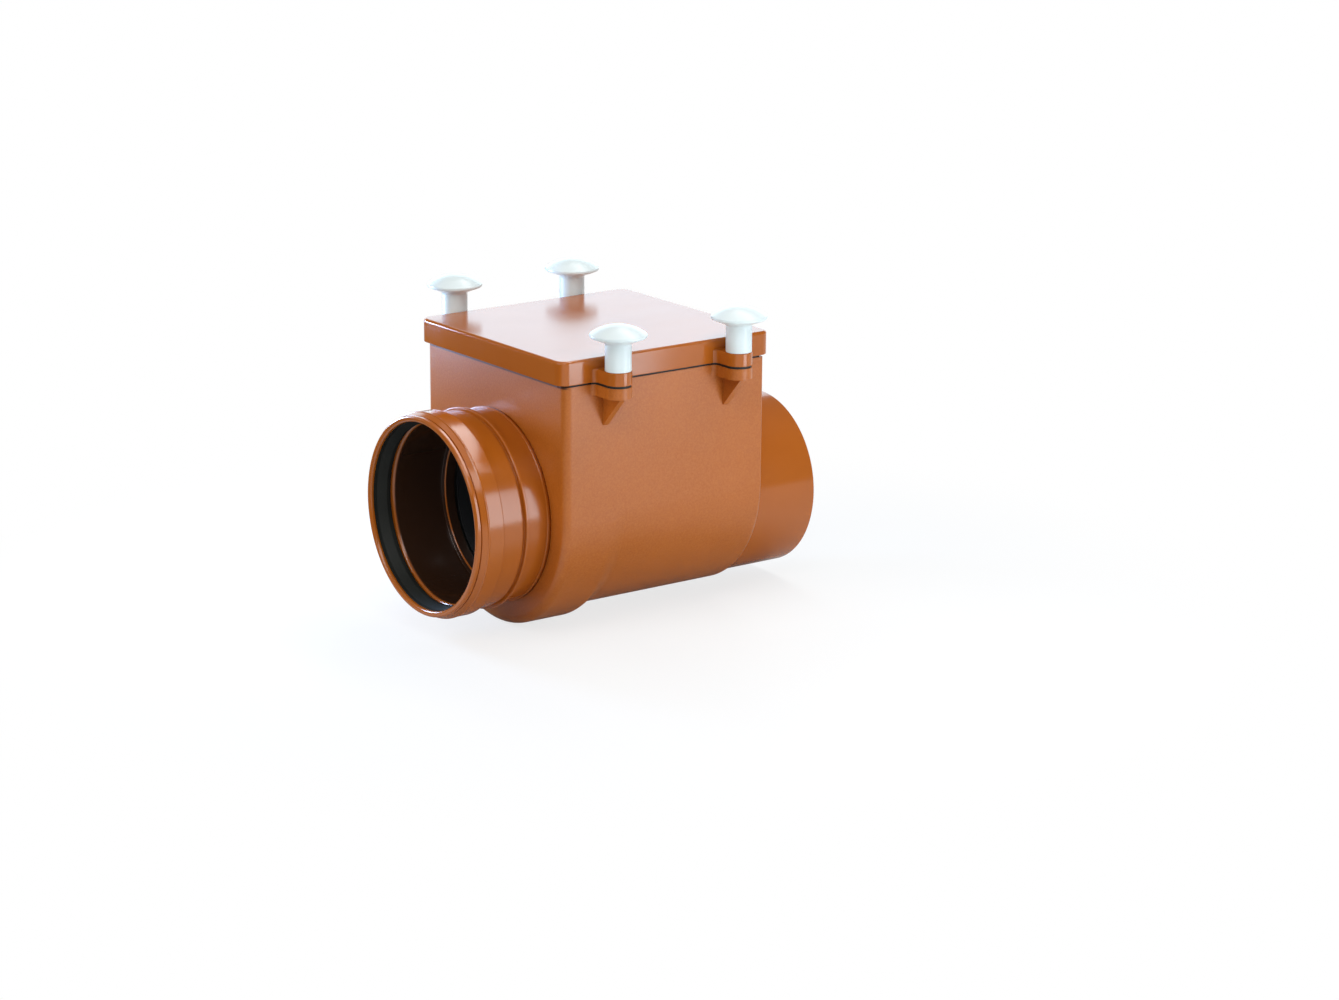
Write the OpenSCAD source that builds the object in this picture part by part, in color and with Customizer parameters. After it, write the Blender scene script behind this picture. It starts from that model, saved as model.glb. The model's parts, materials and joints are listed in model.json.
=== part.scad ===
// Backwater valve for a buried or cellar drain: a U-shaped housing with a pipe socket, a pipe
// spigot, a screwed lid and a hanging flap in a slide-in frame.
// +X runs with the flow, +Z is up. The origin is on the inlet axis at the socket's pipe stop.

/* [Pipe] */
// Outside diameter of the drain pipe that the valve joins
pipe_od = 110; // [90:0.5:125]
// Wall thickness of the outlet spigot
pipe_wall = 3.2; // [2.2:0.1:4.5]
// How far the outlet axis lies below the inlet axis
outlet_drop = 12.5; // [8:0.5:16]
// Length of the outlet spigot outside the housing
spigot_len = 58; // [40:1:90]
// Chamfer on the free end of the spigot
spigot_chamfer = 1; // [0.5:0.1:2]
// Step of the nose that locates a pipe stub in its end wall
nose_step = 1.6; // [1:0.1:2.2]

/* [Inlet socket] */
// Depth from the socket's mouth to the pipe stop
socket_depth = 50.7; // [42:0.1:70]
// Radial clearance of the pipe in the socket
socket_gap = 0.3; // [0.2:0.05:0.5]
// Radial clearance of the pipe in the mouth
mouth_gap = 2.5; // [2:0.1:3.2]
// Radial depth of the seal groove beyond the bore
seal_groove_d = 3.4; // [2.8:0.1:4]
// Length of the seal groove
seal_groove_len = 12; // [9:0.5:13]
// Length of the rounded lip at the mouth
lip_len = 2.9; // [2.7:0.1:4]
// Wall of the lip at the mouth
lip_wall = 3.6; // [3:0.1:4.2]
// Wall of the seal chamber over the seal groove
chamber_wall = 4.05; // [3.4:0.05:5]
// Width of the notch behind the lip
lip_notch_w = 0.6; // [0.4:0.1:1]
// Depth of the notch behind the lip
lip_notch_d = 0.9; // [0.5:0.1:1.5]
// Length of the lip that keeps the seal in
lip_keep = 2.6; // [2:0.1:3]
// Length of the sloped front of the seal chamber
chamber_slope = 3.7; // [2.5:0.1:4.5]
// Length of the seal chamber behind its slope
chamber_len = 11.2; // [9:0.1:14]
// Wall of the plain tube behind the seal chamber
tube_wall = 5.2; // [4.6:0.1:5.8]
// Length of the plain tube
tube_len = 14.6; // [8:0.1:18]
// Wall of the neck between the tube and the housing
neck_wall = 4; // [3.2:0.1:4.5]
// Width of the gap between the tube and the rib
rib_gap = 1.6; // [1:0.1:2.5]
// Width of the rib round the neck
rib_w = 2; // [1.4:0.1:3]
// How far the rib stands out of the neck
rib_h = 2.4; // [1.6:0.1:3]
// Thickness of the foot ring on the housing's wall
foot_t = 2.4; // [1.5:0.1:3.5]
// How far the foot ring stands out of the neck
foot_h = 0.6; // [0.4:0.1:1.2]
// Rounding of the bore's edge behind the seal
bore_round = 3; // [1.5:0.1:3.5]
// Play at the ends of the lip seal
seal_end_gap = 0.2; // [0.1:0.05:0.3]
// Depth of the seal's bent lip
seal_lip_d = 1.8; // [1.4:0.1:2]
// Thickness of the seal's bent lip
seal_lip_t = 1.8; // [1.4:0.1:2.2]

/* [Housing] */
// Length of the housing
housing_len = 147; // [140:1:180]
// Width of the housing
housing_w = 149.6; // [146:0.2:170]
// Height of the housing's top edge above the inlet axis
housing_top = 86.6; // [84:0.2:110]
// Wall thickness of the housing
housing_wall = 4.5; // [3.5:0.1:5]
// Distance from the pipe stop to the housing's front face
face_offset = 2.6; // [2:0.1:6]
// Rounding of the front edges
front_edge_r = 5; // [3:0.5:7]
// Rounding of the rear edges
rear_edge_r = 2; // [1:0.1:2.5]
// Length of the deeper pocket under the flap frame
pocket_len = 31; // [30:0.5:36]
// How far the pocket's floor lies below the main floor
pocket_drop = 5.5; // [3:0.5:6]
// Length of the ramp behind the pocket
pocket_ramp = 8.6; // [6:0.2:14]
// How far the ramp ends inside the main floor
ramp_fade = 0.3; // [0.1:0.1:0.6]
// Thickness of the ribs that hold the frame back
guide_t = 3; // [2:0.5:5]
// How far those ribs stand out from the wall
guide_out = 4; // [3:0.5:6]

/* [Lid and fasteners] */
// Overhang of the lid past the end walls
lid_over_x = 4.2; // [2:0.2:6]
// Overhang of the lid past the side walls
lid_over_y = 1.4; // [0.6:0.2:3]
// Height of the lid
lid_h = 14.6; // [12:0.2:20]
// Thickness of the lid's top plate
lid_plate = 4; // [3:0.2:6]
// Corner radius of the lid in plan
lid_corner_r = 7; // [5:0.5:10]
// Rounding of the lid's top edge
lid_edge_r = 1.8; // [1:0.1:2.4]
// Thickness of the ribs under the lid
lid_rib_t = 2.5; // [2:0.1:4]
// Height of the ribs under the lid
lid_rib_h = 2; // [1:0.5:4]
// Distance of the lid's two posts from the middle
post_y = 44; // [40:1:52]
// Width of a post that holds the frame down
post_w = 10; // [6:0.5:14]
// Thickness of the pad under a post
pad_t = 2; // [1.5:0.1:3]
// Thickness of the flat gasket under the lid
gasket_t = 1.4; // [1:0.1:2]
// How far the gasket stays inside the housing's top edge
gasket_inset = 0.6; // [0.3:0.1:1]
// Distance of a screw's axis from the side wall
screw_out = 12.5; // [11.5:0.1:15]
// Distance between the two screws of one side
screw_spacing = 89; // [70:1:100]
// Radius of the ears and lugs
ear_r = 8.3; // [8.3:0.1:10]
// Radius of the hollow where an ear meets the wall
ear_fillet = 3; // [2:0.2:3.6]
// Thickness of the lid's ears
ear_t = 8; // [6:0.2:10]
// Thickness of the housing's lugs
lug_t = 6.8; // [6:0.2:10]
// Floor left under the thread insert
lug_floor = 1; // [0.8:0.1:1.5]
// Thickness of the fin under each lug
fin_t = 4; // [3:0.2:6]
// Height of the fin under each lug
fin_h = 19.3; // [12:0.1:26]
// How far the fin reaches out from the wall
fin_reach = 17.8; // [14:0.2:19]

/* [Hand screw] */
// Radius of the screw's round grip head
head_r = 17.1; // [14:0.1:20]
// Thickness of the head's rim
head_rim = 1.6; // [1:0.1:3]
// Rise of the domed top above the rim
head_dome = 5.6; // [4:0.1:7]
// Height of the conical underside of the head
head_flare = 3.6; // [2.5:0.1:5]
// Radius of the plain shank
shank_r = 7.9; // [7.2:0.1:8.2]
// Length of the plain shank between ear and head
shank_len = 16.9; // [12:0.1:26]
// Radius of the thread
thread_r = 4.6; // [4:0.1:5]
// Clearance of the thread in the holes it only passes
thread_pass = 0.4; // [0.3:0.1:0.6]
// Running clearance of the thread in its insert
thread_gap = 0.06; // [0.04:0.01:0.1]
// Space left under the screw's end
thread_end_gap = 0.6; // [0.4:0.1:1]
// Radius of the thread insert
insert_r = 6.4; // [6:0.1:6.8]
// Thickness of the sealing washer under the shank
washer_t = 1.5; // [1:0.1:2]
// Outer radius of the sealing washer
washer_r = 7; // [6.4:0.1:7.2]
// Radial clearance of the washer in its recess
washer_gap = 0.3; // [0.2:0.05:0.4]

/* [Flap and frame] */
// Thickness of the gasket between frame and front wall
frame_gasket_t = 2; // [1.5:0.1:3]
// Distance of that gasket from the bore
frame_gasket_in = 1.6; // [1:0.1:3]
// Width of that gasket
frame_gasket_w = 6; // [4:0.5:8]
// Thickness of the slide-in frame
frame_t = 6; // [5:0.2:8]
// Clearance of the frame in the pocket
frame_gap = 0.5; // [0.3:0.1:1]
// Height of the frame's top edge above the inlet axis
frame_top = 78; // [76:0.5:80]
// Width of the pull tab on the frame
tab_w = 36; // [30:1:40]
// Height of the pull tab
tab_h = 13; // [11:0.5:14]
// Radius of the finger holes in the pull tab
tab_hole_r = 5; // [4:0.1:5.4]
// Width of the seat's sealing face
seat_w = 4.2; // [3:0.2:5]
// Distance of the seat's middle from the frame's rear face
seat_out = 10.9; // [10:0.1:13]
// Tilt of the seat that lets the flap's weight close it
seat_tilt = 8; // [5:0.5:9]
// Thickness of the flap plate
flap_t = 4; // [3:0.2:5]
// How far the flap reaches past the seat
flap_past_seat = 3; // [2:0.2:4]
// Width of the stiffening ribs on the flap's back
flap_rib_w = 4; // [3:0.2:6]
// Height of the stiffening ribs on the flap's back
flap_rib_h = 3; // [2:0.2:4]
// Thickness of the flap's rubber seal
seal_t = 3; // [2:0.1:4]
// Gap of the closed seal to the seat
seal_gap = 0.1; // [0.05:0.05:0.2]
// Thickness of the ring that clamps the seal
retainer_t = 2.5; // [2:0.1:3]
// Radial clearance of the clamp ring in the seat
retainer_gap = 3.8; // [3:0.2:5]
// How far the clamp ring grips over the seal
seal_grip = 8; // [6:0.5:10]
// Number of screws in the clamp ring
retainer_screw_n = 6; // [4:1:8]
// Radius of those screws
retainer_screw_r = 1.9; // [1.5:0.1:2.2]
// Radius of their heads
retainer_head_r = 3.5; // [3:0.1:4]
// Height of their heads
retainer_head_h = 1.8; // [1.4:0.1:2.2]
// How deep they go into the flap
retainer_screw_depth = 5; // [4:0.2:6]
// Radius of the hole in the clamp ring
retainer_hole_r = 20; // [16:0.5:22]
// Height of the hinge axis above the flap's edge
hinge_rise = 8; // [7.6:0.2:10]
// Radius of the hinge pin
pin_r = 3; // [2.5:0.1:3.4]
// Running clearance of the pin in its bushes
pin_gap = 0.05; // [0.03:0.01:0.08]
// Wall of the hinge bushes
bush_wall = 1.4; // [1.2:0.1:1.8]
// Thickness of the bushes' flanges
bush_flange_t = 1; // [0.8:0.1:1.2]
// How far the flanges stand out from the bushes
bush_flange_w = 1.6; // [1:0.1:2]
// Outer radius of the flap's hinge eyes
knuckle_r = 6; // [5.6:0.1:6.2]
// Width of one hinge eye
knuckle_w = 8; // [6:0.5:12]
// Distance between the middles of the two hinge eyes
knuckle_span = 38; // [30:1:50]
// Thickness of the frame's hinge brackets
bracket_t = 6; // [5:0.5:8]
// Wall of the brackets around the bushes
bracket_wall = 2.8; // [2.4:0.1:3.2]
// Side clearance between hinge eyes and brackets
hinge_side_gap = 1.6; // [1.4:0.1:2]
// Thickness of the clips that keep the pin in
clip_t = 0.8; // [0.6:0.1:1]
// How far a clip stands out from the pin
clip_out = 2.4; // [1.8:0.1:3]
// Depth of the pin's groove under a clip
clip_groove_d = 0.6; // [0.4:0.1:0.8]
// Length of the pin outside a clip
pin_end_len = 2; // [1:0.5:4]

/* [Hidden] */
$fn = 96;
// Overlap that joins the solids of one piece, and overshoot of a cut
join = 1;
// Play between pieces that are welded, glued or pressed together
weld_gap = 0.05;

// Radii about the pipe axes
pipe_r = pipe_od / 2;
flow_r = pipe_r - pipe_wall;
bore_r = pipe_r + socket_gap;
mouth_r = pipe_r + mouth_gap;
groove_r = bore_r + seal_groove_d;
chamber_r = groove_r + chamber_wall;
tube_r = bore_r + tube_wall;
neck_r = bore_r + neck_wall;
nose_r = pipe_r - nose_step;
groove_end = lip_keep + seal_groove_len;

// Places along the flow
mouth_x = -socket_depth;
face_x = face_offset;
rear_x = face_x + housing_len;
mid_x = (face_x + rear_x) / 2;
pocket_x = face_x + pocket_len;
frame_x = face_x + housing_wall + frame_gasket_t;
frame_rear_x = frame_x + frame_t;
seat_x = frame_rear_x + seat_out;

// Heights and half widths: the main floor is flush with the outlet's bottom
half_w = housing_w / 2;
cavity_r = half_w - housing_wall;
floor_axis_z = cavity_r - outlet_drop - flow_r;
lid_z = housing_top + gasket_t;
lid_top = lid_z + lid_h;
lid_under = lid_top - lid_plate;
ear_top = lid_z + ear_t;
lug_z = housing_top - lug_t;
screw_y = half_w + screw_out;
screw_xs = [mid_x - screw_spacing / 2, mid_x + screw_spacing / 2];
screw_spots = [for (side = [-1, 1]) for (x = screw_xs) [x, side * screw_y]];
insert_z = lug_z + lug_floor;
screw_tip = insert_z + thread_end_gap;
pass_r = thread_r + thread_pass;

// Lid
lid_len = housing_len + 2 * lid_over_x;
lid_w = housing_w + 2 * lid_over_y;

// Flap, in the seat's tilted frame: x away from the seat, z up along it
seat_r = flow_r + seat_w;
flap_r = seat_r + flap_past_seat;
retainer_r = flow_r - retainer_gap;
boss_r = retainer_r - seal_grip;
plate_x = seal_gap + seal_t;
hinge_lx = plate_x + flap_t / 2;
hinge_lz = flap_r + hinge_rise;
hinge_x = seat_x - hinge_lz * sin(seat_tilt) + hinge_lx * cos(seat_tilt);
hinge_z = hinge_lz * cos(seat_tilt) + hinge_lx * sin(seat_tilt);
bush_r = pin_r + pin_gap + bush_wall;
bush_flange_r = bush_r + bush_flange_w;
bracket_r = bush_r + bracket_wall;
bracket_y = knuckle_span / 2 + knuckle_w / 2 + hinge_side_gap;
clip_y = bracket_y + bracket_t + weld_gap;
pin_half = clip_y + clip_t + pin_end_len;
clip_neck_r = pin_r - clip_groove_d;
retainer_pitch_r = (boss_r + retainer_hole_r) / 2;

plastic = [0.72, 0.36, 0.12];
white = [0.93, 0.96, 0.96];
rubber = [0.06, 0.06, 0.06];
inner_grey = [0.30, 0.31, 0.33];
steel = [0.75, 0.76, 0.78];
brass = [0.78, 0.62, 0.30];

// Turn a shape from about Z to about X, its base at x = 0
module along_x() {
    rotate([0, 90, 0]) children();
}

// The lower half of a turned shape about X, from a profile of radius against length
module lower_half_turn() {
    rotate([0, 90, 0]) rotate([0, 0, -90]) rotate_extrude(angle = 180) children();
}

// Plan of a box with rounded front and rear corners, front edge on x = 0, centred on y
module rounded_plan(len, w, front_r, rear_r) {
    translate([front_r, -w / 2]) square([len - front_r - rear_r, w]);
    if (front_r > 0) {
        translate([0, front_r - w / 2]) square([front_r + join, w - 2 * front_r]);
        for (side = [-1, 1]) translate([front_r, side * (w / 2 - front_r)]) circle(front_r);
    }
    if (rear_r > 0) {
        translate([len - rear_r - join, rear_r - w / 2]) square([rear_r + join, w - 2 * rear_r]);
        for (side = [-1, 1]) translate([len - rear_r, side * (w / 2 - rear_r)]) circle(rear_r);
    }
}

// Half of that plan as a profile of radius against length
module rounded_half_profile(len, r, front_r, rear_r) {
    intersection() {
        rotate(90) mirror([0, 1]) rounded_plan(len, 2 * r, front_r, rear_r);
        square([r + join, len]);
    }
}

// Outer form of the housing, or with an inset the room inside it
module housing_form(inset, top_z, front_r, rear_r) {
    r = half_w - inset;
    x0 = face_x + inset;
    len = housing_len - 2 * inset;
    front_len = pocket_len - inset;
    pocket_z = floor_axis_z - pocket_drop;
    translate([x0, 0, floor_axis_z])
        linear_extrude(top_z - floor_axis_z) rounded_plan(len, 2 * r, front_r, rear_r);
    translate([x0, 0, pocket_z]) linear_extrude(pocket_drop) intersection() {
        rounded_plan(len, 2 * r, front_r, rear_r);
        translate([0, -r]) square([front_len, 2 * r]);
    }
    translate([x0, 0, pocket_z]) lower_half_turn() intersection() {
        rounded_half_profile(len, r, front_r, rear_r);
        square([r, front_len]);
    }
    translate([x0, 0, floor_axis_z]) lower_half_turn() intersection() {
        rounded_half_profile(len, r, front_r, rear_r);
        translate([0, front_len]) square([r, len - front_len]);
    }
    translate([pocket_x, 0, pocket_z]) lower_half_turn()
        polygon([[0, 0], [r, 0], [r - pocket_drop - ramp_fade, pocket_ramp], [0, pocket_ramp]]);
}

// Put children at each screw, with local +Y towards the side wall
module at_screws() {
    for (spot = screw_spots) {
        translate([spot[0], spot[1], 0]) rotate(spot[1] < 0 ? 0 : 180) children();
    }
}

// Plan of an ear on a wall at a distance, with hollow fillets at the wall
module ear_plan(r, wall_y) {
    circle(r);
    translate([-r, 0]) square([2 * r, wall_y + join]);
    for (side = [-1, 1]) {
        difference() {
            translate([side * (r + ear_fillet / 2), wall_y + (join - ear_fillet) / 2])
                square([ear_fillet, ear_fillet + join], center = true);
            translate([side * (r + ear_fillet), wall_y - ear_fillet]) circle(ear_fillet);
        }
    }
}

// Triangular fin under a lug, its flat edge against the wall
module fin() {
    translate([-fin_t / 2, screw_out, lug_z]) rotate([90, 0, 90]) linear_extrude(fin_t)
        polygon([[join, join], [join, -fin_h], [0, -fin_h], [-fin_reach, 0], [-fin_reach, join]]);
}

module frame_guides() {
    guide_top = frame_top - guide_out;
    for (side = [-1, 1]) {
        translate([frame_rear_x + frame_gap, side * (cavity_r - guide_out / 2 + join / 2), 0])
            translate([0, -(guide_out + join) / 2, floor_axis_z])
                cube([guide_t, guide_out + join, guide_top - floor_axis_z]);
    }
}

module valve_housing() {
    color(plastic) difference() {
        union() {
            difference() {
                housing_form(0, housing_top, front_edge_r, rear_edge_r);
                housing_form(housing_wall, housing_top + join, 0, 0);
            }
            at_screws() {
                translate([0, 0, lug_z]) linear_extrude(lug_t) ear_plan(ear_r, screw_out);
                fin();
            }
            frame_guides();
        }
        translate([face_x - join, 0, 0]) along_x() cylinder(r = nose_r, h = housing_wall + 2 * join);
        translate([rear_x - housing_wall - join, 0, -outlet_drop])
            along_x() cylinder(r = nose_r, h = housing_wall + 2 * join);
        at_screws() translate([0, 0, insert_z]) cylinder(r = insert_r, h = lug_t);
    }
}

// Half section of the socket: radius against distance from the mouth
module socket_section() {
    chamber_x = lip_len + lip_notch_w;
    tube_x = chamber_x + chamber_slope + chamber_len;
    rib_x = tube_x + tube_len + rib_gap;
    face_len = socket_depth + face_x;
    end_len = face_len + housing_wall;
    lip_round = lip_wall / 2;
    difference() {
        union() {
            translate([mouth_r + lip_round, lip_round]) circle(lip_round);
            translate([mouth_r, lip_round]) square([lip_wall, lip_len - lip_round]);
            translate([mouth_r, lip_len]) square([lip_wall - lip_notch_d, chamber_slope]);
            polygon([[mouth_r, chamber_x], [mouth_r + lip_wall, chamber_x],
                [chamber_r, chamber_x + chamber_slope], [chamber_r, tube_x], [mouth_r, tube_x]]);
            translate([mouth_r, tube_x - join]) square([tube_r - mouth_r, tube_len + join]);
            translate([flow_r, lip_len + seal_groove_len])
                square([neck_r - flow_r, face_len - lip_len - seal_groove_len]);
            translate([mouth_r, rib_x]) square([neck_r + rib_h - mouth_r, rib_w]);
            translate([mouth_r, face_len - foot_t]) square([neck_r + foot_h - mouth_r, foot_t]);
            translate([flow_r, socket_depth]) square([nose_r - weld_gap - flow_r, end_len - socket_depth]);
        }
        translate([bore_r, lip_keep]) square([groove_r - bore_r, groove_end - lip_keep]);
        translate([0, groove_end - join]) square([bore_r, socket_depth - groove_end + join]);
        difference() {
            translate([bore_r - join, groove_end - join])
                square([bore_round + join, bore_round + join]);
            translate([bore_r + bore_round, groove_end + bore_round]) circle(bore_round);
        }
    }
}

module inlet_socket() {
    color(plastic) translate([mouth_x, 0, 0]) along_x() rotate_extrude() socket_section();
}

// Half section of the lip seal, as a pipe in the socket holds it
module seal_section() {
    start = lip_keep + seal_end_gap;
    end = groove_end - seal_end_gap;
    outer = groove_r - seal_end_gap;
    base = bore_r + seal_lip_d;
    tip = bore_r + seal_end_gap;
    polygon([[outer, start], [base, start], [base, start + seal_lip_t], [tip, end - 2 * seal_lip_t],
        [tip, end - seal_lip_t], [base, end - seal_lip_t / 2], [base, end], [outer, end]]);
}

module socket_lip_seal() {
    color(rubber) translate([mouth_x, 0, 0]) along_x() rotate_extrude() seal_section();
}

module outlet_spigot() {
    nose_len = housing_wall;
    color(plastic) translate([rear_x - nose_len, 0, -outlet_drop]) along_x() rotate_extrude() polygon([
        [flow_r, 0], [nose_r - weld_gap, 0], [nose_r - weld_gap, nose_len], [pipe_r, nose_len],
        [pipe_r, nose_len + spigot_len - spigot_chamfer],
        [pipe_r - spigot_chamfer, nose_len + spigot_len], [flow_r, nose_len + spigot_len]]);
}

// Cross section of a slab with two rounded upper corners, centred, base on 0
module rounded_top_section(w, h, r) {
    translate([-w / 2, 0]) square([w, h - r]);
    translate([r - w / 2, 0]) square([w - 2 * r, h]);
    for (side = [-1, 1]) {
        translate([side * (w / 2 - r), h - r]) circle(r);
    }
}

// A slab with rounded corners and a rounded top edge, centred on x and y
module rounded_slab(len, w, h, corner_r, edge_r) {
    translate([corner_r - len / 2, 0, 0]) rotate([90, 0, 90])
        linear_extrude(len - 2 * corner_r) rounded_top_section(w, h, edge_r);
    translate([0, w / 2 - corner_r, 0]) rotate([90, 0, 0])
        linear_extrude(w - 2 * corner_r) rounded_top_section(len, h, edge_r);
    for (sx = [-1, 1]) for (sy = [-1, 1]) {
        translate([sx * (len / 2 - corner_r), sy * (w / 2 - corner_r), 0]) rotate_extrude() intersection() {
            rounded_top_section(2 * corner_r, h, edge_r);
            square([corner_r, h]);
        }
    }
}

module lid() {
    room = [housing_len - 2 * housing_wall, housing_w - 2 * housing_wall];
    post_x = frame_x + frame_t / 2;
    color(plastic) difference() {
        union() {
            difference() {
                translate([mid_x, 0, lid_z]) rounded_slab(lid_len, lid_w, lid_h, lid_corner_r, lid_edge_r);
                translate([mid_x - room[0] / 2, -room[1] / 2, lid_z - join])
                    cube([room[0], room[1], lid_h - lid_plate + join]);
            }
            for (x = screw_xs) {
                translate([x - lid_rib_t / 2, -room[1] / 2 - join, lid_under - lid_rib_h])
                    cube([lid_rib_t, room[1] + 2 * join, lid_rib_h + join]);
            }
            translate([mid_x - room[0] / 2 - join, -lid_rib_t / 2, lid_under - lid_rib_h])
                cube([room[0] + 2 * join, lid_rib_t, lid_rib_h + join]);
            for (side = [-1, 1]) {
                translate([post_x - frame_t / 2, side * post_y - post_w / 2, frame_top + pad_t])
                    cube([frame_t, post_w, lid_under - frame_top - pad_t + join]);
            }
            at_screws() translate([0, 0, lid_z])
                linear_extrude(ear_t) ear_plan(ear_r, screw_out - lid_over_y);
        }
        at_screws() {
            translate([0, 0, lid_z - join]) cylinder(r = pass_r, h = ear_t + 2 * join);
            translate([0, 0, ear_top - washer_t]) cylinder(r = washer_r + washer_gap, h = washer_t + join);
        }
    }
}

module hold_down_pads() {
    color(rubber) for (side = [-1, 1]) {
        translate([frame_x, side * post_y - post_w / 2, frame_top]) cube([frame_t, post_w, pad_t]);
    }
}

module lid_gasket() {
    color(rubber) translate([0, 0, housing_top]) linear_extrude(gasket_t) difference() {
        union() {
            translate([face_x + gasket_inset, 0])
                rounded_plan(housing_len - 2 * gasket_inset, housing_w - 2 * gasket_inset,
                    front_edge_r, front_edge_r);
            at_screws() ear_plan(ear_r - gasket_inset, screw_out);
        }
        translate([mid_x, 0]) square([housing_len, housing_w] - 2 * housing_wall * [1, 1], center = true);
        at_screws() circle(pass_r);
    }
}

module thread_inserts() {
    color(brass) at_screws() translate([0, 0, insert_z]) difference() {
        cylinder(r = insert_r - weld_gap, h = housing_top - insert_z);
        translate([0, 0, -join]) cylinder(r = thread_r + thread_gap, h = lug_t + 2 * join);
    }
}

// Half section of a hand screw: radius against height above the ear
module screw_section() {
    rim_z = shank_len + head_flare;
    top_z = rim_z + head_rim;
    dome_r = (head_r * head_r + head_dome * head_dome) / (2 * head_dome);
    tip = screw_tip - ear_top;
    translate([0, tip]) square([thread_r, washer_t - tip]);
    square([shank_r, rim_z]);
    polygon([[0, shank_len], [shank_r, shank_len], [head_r, rim_z], [head_r, top_z], [0, top_z]]);
    intersection() {
        translate([0, top_z + head_dome - dome_r]) circle(dome_r);
        translate([0, top_z]) square([head_r, head_dome]);
    }
}

module hand_screw(i) {
    color(white) translate([screw_spots[i][0], screw_spots[i][1], ear_top])
        rotate_extrude() screw_section();
}

module screw_washer(i) {
    color(rubber) translate([screw_spots[i][0], screw_spots[i][1], ear_top - washer_t]) difference() {
        cylinder(r = washer_r, h = washer_t);
        translate([0, 0, -join]) cylinder(r = thread_r + thread_gap, h = washer_t + 2 * join);
    }
}

// Put children in the seat's tilted frame
module on_seat() {
    translate([seat_x, 0, 0]) rotate([0, -seat_tilt, 0]) children();
}

// A pin shape along Y at the hinge axis, centred
module on_hinge(y) {
    translate([hinge_x, y, hinge_z]) rotate([90, 0, 0]) children();
}

module frame_brackets() {
    for (side = [-1, 1]) {
        on_hinge(side * (bracket_y + bracket_t / 2)) cylinder(r = bracket_r, h = bracket_t, center = true);
        translate([frame_rear_x - join, side * (bracket_y + bracket_t / 2), hinge_z - bracket_r])
            translate([0, -bracket_t / 2, 0])
                cube([hinge_x - frame_rear_x + join, bracket_t, 2 * bracket_r]);
    }
}

module flap_frame() {
    r = cavity_r - frame_gap;
    axis_z = floor_axis_z - pocket_drop;
    far = 2 * seat_r;
    color(inner_grey) difference() {
        union() {
            translate([frame_x, 0, axis_z]) lower_half_turn() square([r, frame_t]);
            translate([frame_x, -r, axis_z]) cube([frame_t, 2 * r, frame_top - axis_z]);
            translate([frame_x, -tab_w / 2, frame_top - join]) cube([frame_t, tab_w, tab_h + join]);
            difference() {
                translate([frame_x, 0, 0]) along_x() cylinder(r = seat_r, h = frame_t + 2 * seat_out);
                on_seat() translate([0, -far, -far]) cube(2 * far);
            }
            frame_brackets();
        }
        translate([frame_x - join, 0, 0]) along_x() cylinder(r = flow_r, h = frame_t + 4 * seat_out);
        for (y = [-1, 0, 1]) {
            translate([frame_x - join, y * tab_w / 3, frame_top + tab_h / 2])
                along_x() cylinder(r = tab_hole_r, h = frame_t + 2 * join);
        }
        for (side = [-1, 1]) {
            on_hinge(side * (bracket_y + bracket_t / 2))
                cylinder(r = bush_r + weld_gap, h = bracket_t + 2 * join, center = true);
        }
    }
}

module frame_gasket() {
    color(rubber) translate([frame_x - frame_gasket_t, 0, 0]) along_x() difference() {
        cylinder(r = flow_r + frame_gasket_in + frame_gasket_w, h = frame_gasket_t);
        translate([0, 0, -join]) cylinder(r = flow_r + frame_gasket_in, h = frame_gasket_t + 2 * join);
    }
}

module hinge_bushes() {
    flange_y = bracket_y - bush_flange_t / 2;
    color(white) for (side = [-1, 1]) difference() {
        union() {
            on_hinge(side * (bracket_y + bracket_t / 2)) cylinder(r = bush_r, h = bracket_t, center = true);
            on_hinge(side * flange_y) cylinder(r = bush_flange_r, h = bush_flange_t, center = true);
        }
        on_hinge(side * bracket_y) cylinder(r = pin_r + pin_gap, h = 4 * bracket_t, center = true);
    }
}

module hinge_pin() {
    color(steel) difference() {
        on_hinge(0) cylinder(r = pin_r, h = 2 * pin_half, center = true);
        for (side = [-1, 1]) {
            on_hinge(side * (clip_y + clip_t / 2)) difference() {
                cylinder(r = pin_r + join, h = clip_t + 2 * weld_gap, center = true);
                cylinder(r = clip_neck_r, h = clip_t + 2 * join, center = true);
            }
        }
    }
}

module pin_clips() {
    clip_r = pin_r + clip_out;
    slot_w = 2 * clip_neck_r - clip_groove_d;
    color(steel) for (side = [-1, 1]) {
        on_hinge(side * (clip_y + clip_t / 2)) difference() {
            cylinder(r = clip_r, h = clip_t, center = true);
            cylinder(r = clip_neck_r + weld_gap, h = clip_t + 2 * join, center = true);
            translate([-slot_w / 2, -clip_r - join, -clip_t]) cube([slot_w, clip_r + join, 2 * clip_t]);
        }
    }
}

module at_retainer_screws() {
    for (i = [0 : retainer_screw_n - 1]) {
        rotate([i * 360 / retainer_screw_n, 0, 0]) translate([seal_gap, 0, retainer_pitch_r]) children();
    }
}

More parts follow.
